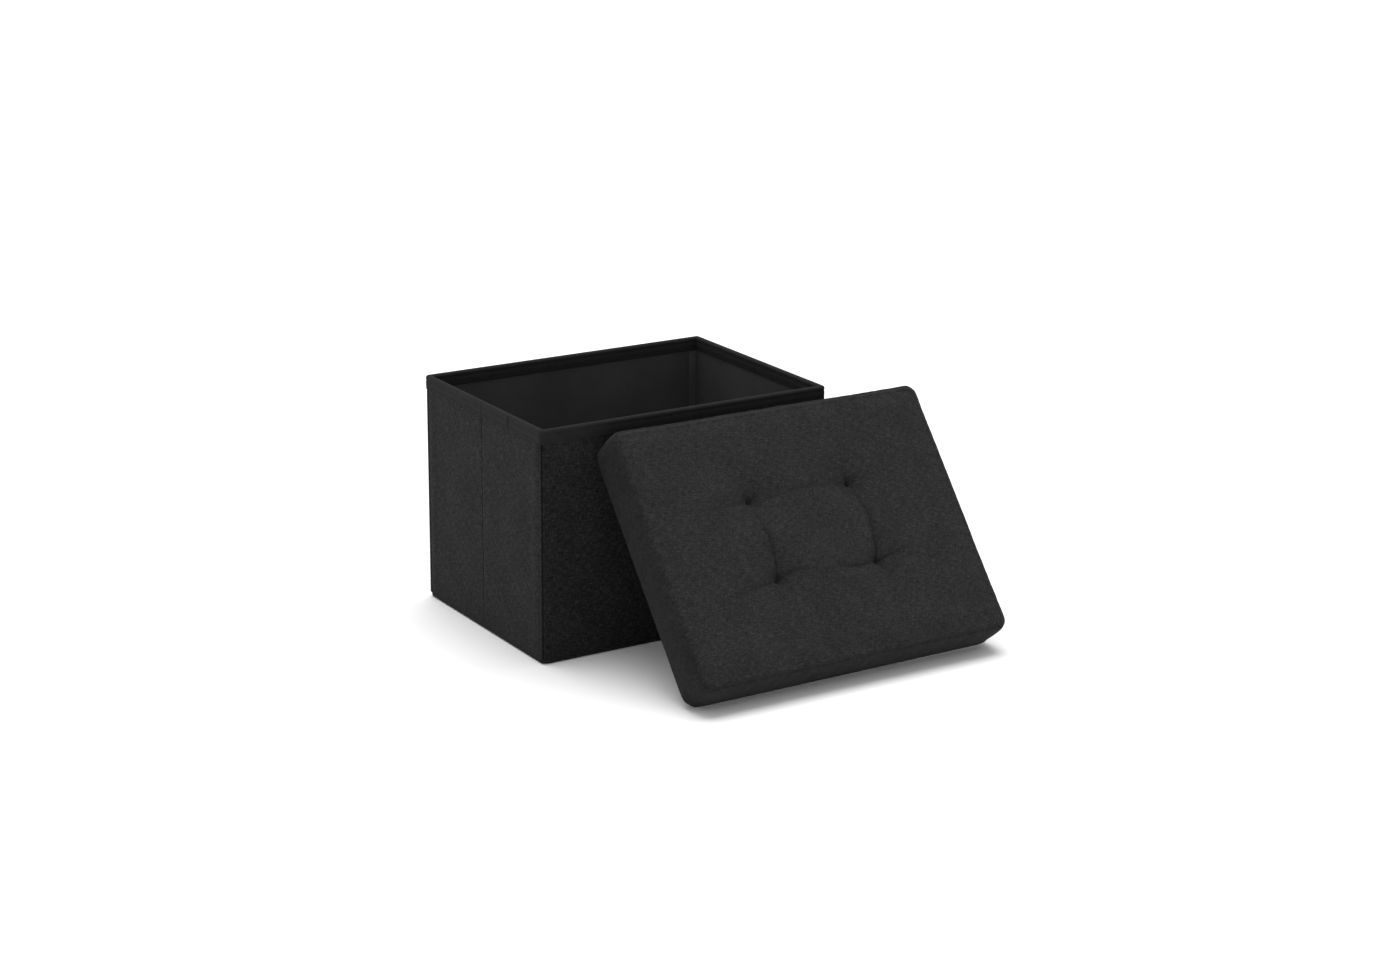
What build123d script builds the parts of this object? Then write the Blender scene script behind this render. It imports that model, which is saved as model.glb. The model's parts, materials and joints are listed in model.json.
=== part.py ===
from build123d import *
import os
from math import cos, radians, sin

# A collapsible storage ottoman: a fabric-covered box of stiff boards that folds
# flat, a loose base board, and a padded lift-off lid that leans on the box's
# front.  X runs along the long side, -Y is the front and +Z is up.  The origin
# is the centre of the box's footprint on the floor.  All sizes are millimetres.

# Box, outside sizes over the rim band
BOX_LENGTH = 396.0
BOX_DEPTH = 292.0
BOX_HEIGHT = 286.0

# Layers of each wall, from outside to inside
BAND = 1.0
COVER = 1.0
BOARD = 4.0
LINING = 1.0
BAND_DROP = 17.0
CORNER_RADIUS = 5.0

# Folding: gaps at the corners and at the crease half way along each short side
CORNER_GAP = 0.5
CREASE_GAP = 0.25
WALL_FOOT = 5.5

# Bottom cloth and loose base board
CLOTH = 1.2
HEM_TOP = 5.2
BASE_FLOOR = 1.4
BASE_THICKNESS = 3.6
BASE_CLEARANCE = 1.5
WRAP = 0.5

# Lid, outside sizes, and the recess that fits over the box
LID_LENGTH = 432.0
LID_DEPTH = 328.0
LID_THICKNESS = 54.0
LID_CORNER = 14.0
LID_TOP_FILLET = 12.0
LID_COVER = 1.0
LID_BOARD = 4.5
RECESS_DEPTH = 33.0
RECESS_PLAY = 1.7
LID_TILT = 50.7
LID_SHIFT = 85.5
LID_REST_GAP = 0.4

# Tufts: four ties pull the top down to washers under the lid board
TUFT_X = 70.0
TUFT_Y = 50.0
TUFT_DROP = 12.0
TIE_RADIUS = 0.9
TIE_HOLE = 1.5
WASHER_RADIUS = 9.0
WASHER_THICKNESS = 1.2

# Derived places
HALF_LENGTH = BOX_LENGTH / 2
HALF_DEPTH = BOX_DEPTH / 2
WALL = COVER + BOARD + LINING
RIM = BOX_HEIGHT - BAND
BAND_FOOT = BOX_HEIGHT - BAND_DROP
COVER_X = HALF_LENGTH - BAND
COVER_Y = HALF_DEPTH - BAND
INNER_X = COVER_X - WALL
INNER_Y = COVER_Y - WALL
SIDES = ("front", "rear", "left", "right")


def block(x_range, y_range, z_range):
    """A box between two values on each axis."""
    spans = (x_range, y_range, z_range)
    middle = [(low + high) / 2 for low, high in spans]
    size = [high - low for low, high in spans]
    return Pos(*middle) * Box(*size)


def rounded_plate(half_x, half_y, radius, z_range):
    """A plate centred on Z with rounded upright corners."""
    outline = RectangleRounded(2 * half_x, 2 * half_y, radius)
    return extrude(Pos(0, 0, z_range[0]) * outline, z_range[1] - z_range[0])


def wedge(side, half_x, half_y):
    """The part of a rectangle's plan, cut along its corner mitres, that holds one side."""
    mitre = half_x - half_y
    far_x = 2 * half_x
    far_y = far_x - mitre
    left = [(-mitre, 0), (-far_x, far_y), (-far_x, -far_y)]
    front = [(-mitre, 0), (mitre, 0), (far_x, -far_y), (-far_x, -far_y)]
    outlines = {
        "left": left,
        "right": [(-x, y) for x, y in left],
        "front": front,
        "rear": [(x, -y) for x, y in front],
    }
    return extrude(make_face(Polyline(*outlines[side], close=True)), LID_THICKNESS)


def long_wall_prism(inset, back, z_range):
    """A slice of the front wall whose outer upright corners are rounded.

    inset is the distance inside the band's outer face, and back is the y
    distance from the middle to the slice's inner face.
    """
    end = HALF_LENGTH - inset
    face = HALF_DEPTH - inset
    outline = Pos(0, -(face + back) / 2) * Rectangle(2 * end, face - back)
    outer_corners = outline.vertices().group_by(Axis.Y)[0]
    outline = fillet(outer_corners, CORNER_RADIUS - inset)
    return extrude(Pos(0, 0, z_range[0]) * outline, z_range[1] - z_range[0])


def front_wall():
    """The front wall's layers: cover, board, lining, rim band and two corner tapes."""
    upright = (WALL_FOOT, RIM)
    wrapped = (BAND_FOOT, RIM)
    cap = (RIM, BOX_HEIGHT)
    board_inset = BAND + COVER
    board_back = INNER_Y + LINING
    cover = long_wall_prism(BAND, INNER_Y, upright) - long_wall_prism(board_inset, INNER_Y, upright)
    board = long_wall_prism(board_inset, board_back, upright)
    lining_end = HALF_LENGTH - board_inset
    lining = block((-lining_end, lining_end), (-board_back, -INNER_Y), upright)
    skin = long_wall_prism(0, INNER_Y, wrapped) - long_wall_prism(BAND, INNER_Y, wrapped)
    lip_end = INNER_X - BAND - CORNER_GAP
    lip = block((-lip_end, lip_end), (-INNER_Y, -INNER_Y + BAND), (BAND_FOOT, BOX_HEIGHT))
    band = skin + long_wall_prism(0, INNER_Y, cap) + lip
    tape_thickness = 0.6
    tape_width = 1.8
    tape_y = (-INNER_Y - tape_width, -INNER_Y)
    tape_z = (WALL_FOOT, BAND_FOOT)
    left_tape = block((-COVER_X - tape_thickness, -COVER_X), tape_y, tape_z)
    right_tape = block((COVER_X, COVER_X + tape_thickness), tape_y, tape_z)
    return {
        "cover": cover,
        "board": board,
        "lining": lining,
        "band": band,
        "left_corner_tape": left_tape,
        "right_corner_tape": right_tape,
    }


def left_front_panel():
    """The front half of the left side, from the corner to the fold crease."""
    y_range = (-INNER_Y + CORNER_GAP, -CREASE_GAP)
    upright = (WALL_FOOT, RIM)
    board_x = COVER_X - COVER
    lining_x = board_x - BOARD
    outside = block((-HALF_LENGTH, -INNER_X + BAND), y_range, (BAND_FOOT, BOX_HEIGHT))
    inside = block((-COVER_X, -INNER_X), y_range, (BAND_FOOT, RIM))
    return {
        "cover": block((-COVER_X, -board_x), y_range, upright),
        "board": block((-board_x, -lining_x), y_range, upright),
        "lining": block((-lining_x, -INNER_X), y_range, upright),
        "band": outside - inside,
    }


def bottom_pieces():
    """The cloth under the box, and the hem strip that turns up along each wall."""
    corner = CORNER_RADIUS - BAND
    ring = rounded_plate(COVER_X, COVER_Y, corner, (CLOTH, HEM_TOP))
    ring -= rounded_plate(COVER_X - COVER, COVER_Y - COVER, corner - COVER, (CLOTH, HEM_TOP))
    strips = {f"bottom_hem_{side}": ring & wedge(side, COVER_X, COVER_Y) for side in SIDES}
    return {"bottom_cloth": rounded_plate(COVER_X, COVER_Y, corner, (0, CLOTH)), **strips}


def base_pieces():
    """The loose base board and the cloth stretched over its top and edges."""
    half_x = INNER_X - BAND - BASE_CLEARANCE
    half_y = INNER_Y - BAND - BASE_CLEARANCE
    top = BASE_FLOOR + BASE_THICKNESS
    wrapped = block((-half_x, half_x), (-half_y, half_y), (BASE_FLOOR, top))
    core_x = half_x - WRAP
    core_y = half_y - WRAP
    core = block((-core_x, core_x), (-core_y, core_y), (BASE_FLOOR, top - WRAP))
    return {"base_board": core, "base_wrap": wrapped - core}


def lid_pieces():
    """The lid's layers as they lie with the lid flat and its hem at z = 0."""
    half_x = LID_LENGTH / 2
    half_y = LID_DEPTH / 2
    foam_x = half_x - LID_COVER
    foam_y = half_y - LID_COVER
    recess_x = HALF_LENGTH + RECESS_PLAY
    recess_y = HALF_DEPTH + RECESS_PLAY
    frame_x = recess_x + LINING + BOARD
    frame_y = recess_y + LINING + BOARD
    board_foot = RECESS_DEPTH + LINING
    board_top = board_foot + LID_BOARD
    seam = board_top + 1.5
    foam_top = LID_THICKNESS - LID_COVER
    tall = (0, LID_THICKNESS)
    pieces = {}

    tie_places = [(x, y) for y in (-TUFT_Y, TUFT_Y) for x in (-TUFT_X, TUFT_X)]
    tie_holes = [Pos(x, y, LID_THICKNESS / 2) * Cylinder(TIE_HOLE, LID_THICKNESS) for x, y in tie_places]
    washer_middle = board_foot + WASHER_THICKNESS / 2
    washer_seats = [Pos(x, y, washer_middle) * Cylinder(WASHER_RADIUS + 0.3, WASHER_THICKNESS) for x, y in tie_places]

    board = block((-frame_x, frame_x), (-frame_y, frame_y), (board_foot, board_top))
    pieces["lid_board"] = board - tie_holes - washer_seats

    pad = rounded_plate(foam_x, foam_y, LID_CORNER - LID_COVER, (board_top, foam_top))
    pad = fillet(pad.faces().sort_by(Axis.Z)[-1].edges(), LID_TOP_FILLET - LID_COVER)
    pieces["lid_top_foam"] = pad - tie_holes

    shell = rounded_plate(half_x, half_y, LID_CORNER, (seam, LID_THICKNESS))
    shell = fillet(shell.faces().sort_by(Axis.Z)[-1].edges(), LID_TOP_FILLET)
    pieces["lid_top_cover"] = shell - pad

    outer = rounded_plate(half_x, half_y, LID_CORNER, (0, seam))
    under_cover = rounded_plate(foam_x, foam_y, LID_CORNER - LID_COVER, (LID_COVER, seam))
    recess = rounded_plate(recess_x, recess_y, CORNER_RADIUS, tall)
    skirt_cover = outer - under_cover - recess
    framed = block((-frame_x, frame_x), (-frame_y, frame_y), tall)
    foam_z = (LID_COVER, board_top)
    skirt_foam = rounded_plate(foam_x, foam_y, LID_CORNER - LID_COVER, foam_z) - framed
    for side in SIDES:
        quarter = wedge(side, half_x, half_y)
        pieces[f"lid_{side}_cover"] = skirt_cover & quarter
        pieces[f"lid_{side}_foam"] = skirt_foam & quarter

    skirt_z = (LID_COVER, board_foot)
    inner_x = recess_x + LINING
    inner_y = recess_y + LINING
    pieces["lid_front_board"] = block((-frame_x, frame_x), (-frame_y, -inner_y), skirt_z)
    pieces["lid_rear_board"] = block((-frame_x, frame_x), (inner_y, frame_y), skirt_z)
    pieces["lid_left_board"] = block((-frame_x, -inner_x), (-inner_y, inner_y), skirt_z)
    pieces["lid_right_board"] = block((inner_x, frame_x), (-inner_y, inner_y), skirt_z)

    lining = block((-inner_x, inner_x), (-inner_y, inner_y), skirt_z)
    hollow = rounded_plate(recess_x, recess_y, CORNER_RADIUS, (0, RECESS_DEPTH))
    pieces["lid_lining"] = lining - hollow

    tie_length = LID_THICKNESS - TUFT_DROP - board_foot - WASHER_THICKNESS
    tie_middle = board_foot + WASHER_THICKNESS + tie_length / 2
    for number, (x, y) in enumerate(tie_places, start=1):
        pieces[f"tuft_tie_{number}"] = Pos(x, y, tie_middle) * Cylinder(TIE_RADIUS, tie_length)
        pieces[f"tuft_washer_{number}"] = Pos(x, y, washer_middle) * Cylinder(WASHER_RADIUS, WASHER_THICKNESS)
    return pieces


def lean(piece):
    """Stand a lid piece on its front hem so that its rear hem nearly meets the wall."""
    tilt = radians(LID_TILT)
    half = LID_DEPTH / 2
    rise = half * sin(tilt)
    back = -COVER_Y - LID_REST_GAP - half * cos(tilt)
    return Pos(LID_SHIFT, back, rise) * Rot(LID_TILT, 0, 0) * piece


def save(node, piece):
    """Write one piece as its own STEP file."""
    export_step(piece, f"parts/{node}.step")


for layer, piece in front_wall().items():
    save(f"front_{layer}", piece)
    save(f"rear_{layer}", mirror(piece, about=Plane.XZ))

for layer, piece in left_front_panel().items():
    rear_piece = mirror(piece, about=Plane.XZ)
    save(f"left_front_{layer}", piece)
    save(f"left_rear_{layer}", rear_piece)
    save(f"right_front_{layer}", mirror(piece, about=Plane.YZ))
    save(f"right_rear_{layer}", mirror(rear_piece, about=Plane.YZ))

for node, piece in {**bottom_pieces(), **base_pieces()}.items():
    save(node, piece)
for node, piece in lid_pieces().items():
    save(node, lean(piece))
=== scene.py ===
import json
import math

import bmesh
import bpy
import numpy as np
from mathutils import Matrix, Vector, noise

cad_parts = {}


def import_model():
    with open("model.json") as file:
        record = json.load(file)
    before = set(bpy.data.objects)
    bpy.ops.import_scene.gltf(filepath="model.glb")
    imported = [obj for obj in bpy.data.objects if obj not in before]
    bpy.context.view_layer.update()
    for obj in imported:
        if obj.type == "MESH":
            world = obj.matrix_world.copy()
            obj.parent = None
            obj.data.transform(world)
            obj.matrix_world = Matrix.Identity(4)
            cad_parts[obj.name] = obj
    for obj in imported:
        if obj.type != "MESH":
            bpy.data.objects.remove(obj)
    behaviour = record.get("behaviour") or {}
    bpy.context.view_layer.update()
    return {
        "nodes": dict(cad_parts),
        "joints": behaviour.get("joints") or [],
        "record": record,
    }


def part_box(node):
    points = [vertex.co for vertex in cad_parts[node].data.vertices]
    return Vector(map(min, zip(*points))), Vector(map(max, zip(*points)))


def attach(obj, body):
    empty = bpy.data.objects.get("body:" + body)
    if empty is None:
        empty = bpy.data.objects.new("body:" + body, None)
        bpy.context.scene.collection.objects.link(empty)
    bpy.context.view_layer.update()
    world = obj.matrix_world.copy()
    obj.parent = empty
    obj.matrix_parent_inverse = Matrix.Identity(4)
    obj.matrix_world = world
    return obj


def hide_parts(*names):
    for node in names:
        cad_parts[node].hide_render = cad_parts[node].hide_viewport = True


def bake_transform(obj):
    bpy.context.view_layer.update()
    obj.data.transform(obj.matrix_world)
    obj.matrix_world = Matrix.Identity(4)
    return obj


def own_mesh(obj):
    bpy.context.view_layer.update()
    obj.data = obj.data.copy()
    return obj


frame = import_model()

# An open storage ottoman of fabric over folding boards, with its tufted lid
# leaning on the front wall.  Everything is in metres in the part's own frame:
# X along the long side, -Y the front, +Z up.

MM = 0.001
scene = bpy.context.scene


# ---------------------------------------------------------------- places

def low(node):
    return np.array(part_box(node)[0])


def high(node):
    return np.array(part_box(node)[1])


_, BAND_Y, RIM_TOP = high("rear_band")
COVER_X, COVER_Y, COVER_TOP = high("rear_cover")
BAND_FOOT = low("rear_band")[2]
WALL_FOOT = low("rear_cover")[2]
INNER_X = -high("left_front_lining")[0]
INNER_Y = -high("front_lining")[1]
LIP_X = -high("left_front_band")[0]
LIP_Y = -high("front_band")[1]
BASE_LOW = low("base_wrap")
BASE_HIGH = high("base_wrap")
CORNER = 4 * MM
CLOTH = 1.0 * MM


# ---------------------------------------------------------------- materials

def new_material(name, roughness, sheen=0.0):
    material = bpy.data.materials.new(name)
    material.use_nodes = True
    shader = material.node_tree.nodes["Principled BSDF"]
    shader.inputs["Roughness"].default_value = roughness
    shader.inputs["Specular IOR Level"].default_value = 0.12
    shader.inputs["Sheen Weight"].default_value = sheen
    shader.inputs["Sheen Roughness"].default_value = 0.5
    return material, material.node_tree, shader


WAVE_RADIANS = 20.0  # the wave texture's phase for each unit of length at scale 1


class Graph:
    """Short names for the few node kinds that the materials use."""

    def __init__(self, tree, coordinates):
        self.tree = tree
        self.coords = tree.nodes.new("ShaderNodeTexCoord").outputs[coordinates]

    def node(self, kind, **settings):
        made = self.tree.nodes.new(kind)
        for key, value in settings.items():
            setattr(made, key, value)
        return made

    def link(self, source, target):
        self.tree.links.new(source, target)

    def stretched(self, scale, rotation=0.0):
        mapping = self.node("ShaderNodeMapping")
        mapping.inputs["Scale"].default_value = scale
        mapping.inputs["Rotation"].default_value = (0, 0, rotation)
        self.link(self.coords, mapping.inputs["Vector"])
        return mapping.outputs["Vector"]

    def noise(self, scale, detail=2.0, rough=0.5, rotation=0.0):
        made = self.node("ShaderNodeTexNoise")
        made.inputs["Scale"].default_value = 1.0
        made.inputs["Detail"].default_value = detail
        made.inputs["Roughness"].default_value = rough
        self.link(self.stretched(scale, rotation), made.inputs["Vector"])
        return made.outputs["Fac"]

    def wave(self, direction, cycles_per_metre, distortion=0.0):
        made = self.node("ShaderNodeTexWave", bands_direction=direction)
        made.inputs["Scale"].default_value = cycles_per_metre * 2 * math.pi / WAVE_RADIANS
        made.inputs["Distortion"].default_value = distortion
        made.inputs["Detail"].default_value = 1.0
        self.link(self.coords, made.inputs["Vector"])
        return made.outputs["Fac"]

    def math(self, operation, a, b, clamp=False):
        made = self.node("ShaderNodeMath", operation=operation, use_clamp=clamp)
        for socket, value in zip(made.inputs, (a, b)):
            if isinstance(value, (int, float)):
                socket.default_value = value
            else:
                self.link(value, socket)
        return made.outputs[0]

    def span(self, value, low_in, high_in, low_out, high_out):
        made = self.node("ShaderNodeMapRange")
        self.link(value, made.inputs["Value"])
        numbers = {"From Min": low_in, "From Max": high_in, "To Min": low_out, "To Max": high_out}
        for key, number in numbers.items():
            made.inputs[key].default_value = number
        return made.outputs["Result"]

    def ramp(self, value, stops):
        made = self.node("ShaderNodeValToRGB")
        elements = made.color_ramp.elements
        while len(elements) < len(stops):
            elements.new(0.5)
        for element, (place, colour) in zip(elements, stops):
            element.position = place
            element.color = (*colour, 1.0)
        self.link(value, made.inputs["Fac"])
        return made.outputs["Color"]

    def darkened(self, colour, attribute, share):
        """The colour, darker where the mesh's own attribute is high: painted shade."""
        named = self.node("ShaderNodeAttribute", attribute_name=attribute)
        left = self.math("SUBTRACT", 1.0, self.math("MULTIPLY", named.outputs["Fac"], share))
        made = self.node("ShaderNodeVectorMath", operation="SCALE")
        self.link(colour, made.inputs[0])
        self.link(left, made.inputs["Scale"])
        return made.outputs["Vector"]

    def bump(self, shader, height, distance, strength=1.0, under=None):
        made = self.node("ShaderNodeBump")
        made.inputs["Strength"].default_value = strength
        made.inputs["Distance"].default_value = distance
        self.link(height, made.inputs["Height"])
        if under is not None:
            self.link(under, made.inputs["Normal"])
        self.link(made.outputs["Normal"], shader.inputs["Normal"])
        return made.outputs["Normal"]


def grey(value, warm=0.0):
    return (value * (1 + warm), value, value * (1 - warm * 0.6 + 0.03))


YARNS_PER_METRE = 850


def linen(name, tone, contrast=1.0, shade_painted=False):
    """Heathered linen look: plain weave, with thick and thin yarns both ways, and painted shade where
    asked.
    """
    material, tree, shader = new_material(name, 0.92, 0.05)
    shader.inputs["Sheen Tint"].default_value = (0.6, 0.6, 0.62, 1.0)
    g = Graph(tree, "UV")
    across = g.wave("X", YARNS_PER_METRE)
    along = g.wave("Y", YARNS_PER_METRE)
    weave = g.math("MULTIPLY", across, along)
    long_slubs = g.noise((125, 1000, 1), 1.5, 0.6)
    tall_slubs = g.noise((1000, 145, 1), 1.5, 0.6)
    coarse_slubs = g.noise((95, 430, 1), 1.0, 0.5)
    clouds = g.noise((22, 22, 1), 3.0, 0.55)
    heather = g.math("ADD", g.math("MULTIPLY", long_slubs, 0.5), g.math("MULTIPLY", tall_slubs, 0.5))
    heather = g.math("ADD", heather, g.math("MULTIPLY", coarse_slubs, 0.15))
    heather = g.math("ADD", heather, g.math("MULTIPLY", clouds, 0.15))
    value = g.span(heather, 0.50, 0.80, 0.0, 1.0)
    value = g.math("ADD", value, g.math("MULTIPLY", g.math("SUBTRACT", weave, 0.25), 0.25), clamp=True)
    dark, pale = 1 - 0.55 * contrast, 1 + 0.9 * contrast
    colour = g.ramp(value, [(0.0, grey(tone * dark)), (0.55, grey(tone)), (1.0, grey(tone * pale))])
    # Painted shade: darker where the mesh's crease attribute is high, in the lid's creases, tuft pits and
    # side skirt.
    if shade_painted:
        colour = g.darkened(colour, "crease", 0.6)
    g.link(colour, shader.inputs["Base Color"])
    height = g.math("ADD", g.math("MULTIPLY", weave, 0.6), g.math("MULTIPLY", heather, 0.8))
    g.bump(shader, height, 0.35 * MM, 0.7)
    return material


def binding(name, tone):
    """Ribbed binding tape: fine cords across the band, and a slight mottling."""
    material, tree, shader = new_material(name, 0.9, 0.02)
    g = Graph(tree, "UV")
    ribs = g.wave("X", 900, 0.4)
    threads = g.noise((300, 1400, 1), 2.0, 0.6)
    mottle = g.noise((60, 60, 1), 2.0, 0.5)
    value = g.math("ADD", g.math("MULTIPLY", threads, 0.7), g.math("MULTIPLY", mottle, 0.3))
    value = g.span(value, 0.32, 0.68, 0.0, 1.0)
    colour = g.ramp(value, [(0.0, grey(tone * 0.65)), (0.5, grey(tone)), (1.0, grey(tone * 1.5))])
    g.link(colour, shader.inputs["Base Color"])
    height = g.math("ADD", g.math("MULTIPLY", ribs, 0.5), threads)
    g.bump(shader, height, 0.2 * MM, 0.6)
    return material


def nonwoven(name, tone):
    """Smooth non-woven lining with its fine embossed dots and pressed fibres."""
    material, tree, shader = new_material(name, 0.78, 0.05)
    g = Graph(tree, "UV")
    dots = g.math("MULTIPLY", g.wave("X", 420), g.wave("Y", 420))
    fibres = g.noise((700, 700, 1), 3.0, 0.65)
    clouds = g.noise((14, 14, 1), 3.0, 0.5)
    value = g.math("ADD", g.math("MULTIPLY", fibres, 0.5), g.math("MULTIPLY", clouds, 0.5))
    value = g.span(value, 0.35, 0.65, 0.0, 1.0)
    colour = g.ramp(value, [(0.0, grey(tone * 0.8)), (1.0, grey(tone * 1.25))])
    g.link(colour, shader.inputs["Base Color"])
    height = g.math("ADD", g.math("MULTIPLY", dots, -0.5), g.math("MULTIPLY", fibres, 0.4))
    g.bump(shader, height, 0.15 * MM, 0.6)
    return material


def fibreboard(name):
    material, tree, shader = new_material(name, 0.8)
    g = Graph(tree, "Object")
    fibres = g.noise((420, 420, 120), 4.0, 0.65)
    clouds = g.noise((30, 30, 30), 2.0, 0.5)
    value = g.math("ADD", g.math("MULTIPLY", fibres, 0.7), g.math("MULTIPLY", clouds, 0.3))
    colour = g.ramp(value, [(0.3, (0.26, 0.17, 0.10)), (0.7, (0.50, 0.37, 0.24))])
    g.link(colour, shader.inputs["Base Color"])
    g.bump(shader, fibres, 0.2 * MM, 0.5)
    return material


def plastic(name):
    material, tree, shader = new_material(name, 0.45)
    g = Graph(tree, "Object")
    grain = g.noise((900, 900, 900), 2.0, 0.5)
    colour = g.ramp(grain, [(0.3, grey(0.03)), (0.7, grey(0.045))])
    g.link(colour, shader.inputs["Base Color"])
    g.bump(shader, grain, 0.05 * MM, 0.4)
    return material


def thread(name, tone):
    material, tree, shader = new_material(name, 0.95)
    g = Graph(tree, "Object")
    twist = g.noise((1500, 1500, 2500), 1.0, 0.5, 0.6)
    colour = g.ramp(twist, [(0.3, grey(tone * 0.7)), (0.7, grey(tone * 1.5))])
    g.link(colour, shader.inputs["Base Color"])
    g.bump(shader, twist, 0.1 * MM, 0.6)
    return material


# The box and the lid wear one cloth: the lid's lighter tone is painted light, for the light falling on its
# top, and its sides get painted shade.
BOX_LINEN = linen("box_linen", 0.0124, 1.6)
LID_LINEN = linen("lid_linen", 0.0182, shade_painted=True)
BINDING = binding("rim_binding", 0.0135)
LINING = nonwoven("black_nonwoven", 0.039)
# Near-black cord: painted shade in the corner grooves and in the binding's join slot.
SEAM_CORD_SHADE = thread("seam_cord_shade", 0.003)
FIBREBOARD = fibreboard("fibreboard")
PLASTIC = plastic("washer_plastic")
THREAD = thread("sewing_thread", 0.016)
FINISH = {
    "linen": BOX_LINEN,
    "binding": BINDING,
    "lining": LINING,
    "board": FIBREBOARD,
    "foam": FIBREBOARD,
    "thread": THREAD,
    "plastic": PLASTIC,
}


# ---------------------------------------------------------------- mesh helpers

def make_object(name, verts, faces, uvs, material, body, slot, smooth=True):
    """A mesh object with one UV per vertex, riding on a body if one is given."""
    mesh = bpy.data.meshes.new(name)
    mesh.from_pydata([tuple(v) for v in verts], [], faces)
    layer = mesh.uv_layers.new(name="cloth")
    loop_verts = np.empty(len(mesh.loops), dtype=int)
    mesh.loops.foreach_get("vertex_index", loop_verts)
    layer.data.foreach_set("uv", np.asarray(uvs, float)[loop_verts].ravel())
    mesh.materials.append(material)
    for polygon in mesh.polygons:
        polygon.use_smooth = smooth
    obj = bpy.data.objects.new(name, mesh)
    scene.collection.objects.link(obj)
    if body is not None:
        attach(obj, body)
    return obj


def lengths(points):
    """Distance along a line of points, from its first."""
    steps = np.linalg.norm(np.diff(points, axis=0), axis=1)
    return np.concatenate([[0.0], np.cumsum(steps)])


def resampled(points, spacing, extra=()):
    """The line through points with even steps, keeping the corners' arcs."""
    points = np.asarray(points, float)
    at = lengths(points)
    count = max(2, int(round(at[-1] / spacing)) + 1)
    wanted = np.unique(np.concatenate([np.linspace(0, at[-1], count), at, np.asarray(extra, float)]))
    keep = [wanted[0]]
    for place in wanted[1:]:
        if place - keep[-1] > 0.15 * MM:
            keep.append(place)
    return np.stack([np.interp(keep, at, points[:, k]) for k in range(2)], axis=1)


def outward(path):
    """The normal on the left-hand side of a plan path, per point."""
    tangent = np.gradient(path, axis=0)
    tangent /= np.linalg.norm(tangent, axis=1)[:, None]
    return np.stack([tangent[:, 1], -tangent[:, 0]], axis=1)


def ribbon(name, path, profile, material, body, slot, shift=None):
    """A closed strip: profile (outward, height) swept along a plan path."""
    path = np.asarray(path, float)
    profile = np.asarray(profile, float)
    normal = outward(path)
    run = lengths(path)
    climb = lengths(profile)
    rows, columns = len(path), len(profile)
    verts = np.zeros((rows, columns, 3))
    for i in range(rows):
        out = profile[:, 0].copy()
        if shift is not None:
            out = out + np.array([shift(run[i], run[-1], z, o) for o, z in profile])
        verts[i, :, :2] = path[i] + normal[i] * out[:, None]
        verts[i, :, 2] = profile[:, 1]
    faces = []
    for i in range(rows - 1):
        for j in range(columns):
            k = (j + 1) % columns
            a, b = i * columns + j, i * columns + k
            faces.append((a, a + columns, b + columns, b))
    faces.append(tuple(range(columns)))
    faces.append(tuple(reversed(range((rows - 1) * columns, rows * columns))))
    uvs = np.stack(np.meshgrid(run, climb, indexing="ij"), axis=-1).reshape(-1, 2)
    obj = make_object(name, verts.reshape(-1, 3), faces, uvs, material, body, slot)
    fix_normals(obj)
    return obj


def fix_normals(obj):
    """Make the faces look outwards."""

    bm = bmesh.new()
    bm.from_mesh(obj.data)
    bmesh.ops.recalc_face_normals(bm, faces=bm.faces)
    bm.to_mesh(obj.data)
    bm.free()
    obj.data.set_sharp_from_angle(angle=math.radians(48))


def arc(centre, radius, start, end, steps=6):
    """Points on an arc in plan, angles in degrees."""
    angles = np.radians(np.linspace(start, end, steps))
    return [(centre[0] + radius * math.cos(a), centre[1] + radius * math.sin(a)) for a in angles]


def flipped(path, flip_x, flip_y):
    """The path mirrored, with its direction kept so that outside stays outside."""
    path = np.asarray(path, float) * np.array([-1 if flip_x else 1, -1 if flip_y else 1])
    return path[::-1] if flip_x != flip_y else path


def wobble(u, v, seed, scale=11.0):
    """Slow unevenness of stretched cloth, from -1 to 1."""
    return noise.noise(Vector((u * scale, v * scale, seed * 7.3)))


# ---------------------------------------------------------------- box walls

def fade(value, width):
    return min(1.0, max(0.0, value / width))


def cover_shift(seed, bulge_at_start=0.0, bulge_at_end=0.0):
    """How far a cover stands off its board: slack in the middle, rolled ends."""

    def shift(run, total, z, out):
        if out < -0.5 * CLOTH:
            return 0.0
        edge = min(run, total - run)
        free = fade(z - WALL_FOOT, 12 * MM) * fade(BAND_FOOT - 2 * MM - z, 14 * MM)
        loose = fade(edge - 6 * MM, 20 * MM) * free
        value = 0.45 * MM * wobble(run, z, seed) * loose
        value += 0.18 * MM * wobble(run, z, seed + 5, 45) * loose
        value += bulge_at_start * free * math.exp(-(((run - 15 * MM) / (6 * MM)) ** 2))
        value += bulge_at_end * free * math.exp(-(((total - run - 15 * MM) / (6 * MM)) ** 2))
        return value

    return shift


def grooved(shift, at_corner):
    """A shift with the corner seam's narrow groove, and its two slight lips."""

    def both(run, total, z, out):
        value = shift(run, total, z, out)
        if out < -0.5 * CLOTH:
            return value
        gap = min(abs(run - at_corner), abs(total - at_corner - run))
        groove = -0.75 * MM * math.exp(-((gap / (0.75 * MM)) ** 2))
        lips = 0.3 * MM * math.exp(-(((gap - 2.3 * MM) / (1.0 * MM)) ** 2))
        return value + groove + lips * fade(BAND_FOOT - 2 * MM - z, 6 * MM)

    return both


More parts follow.
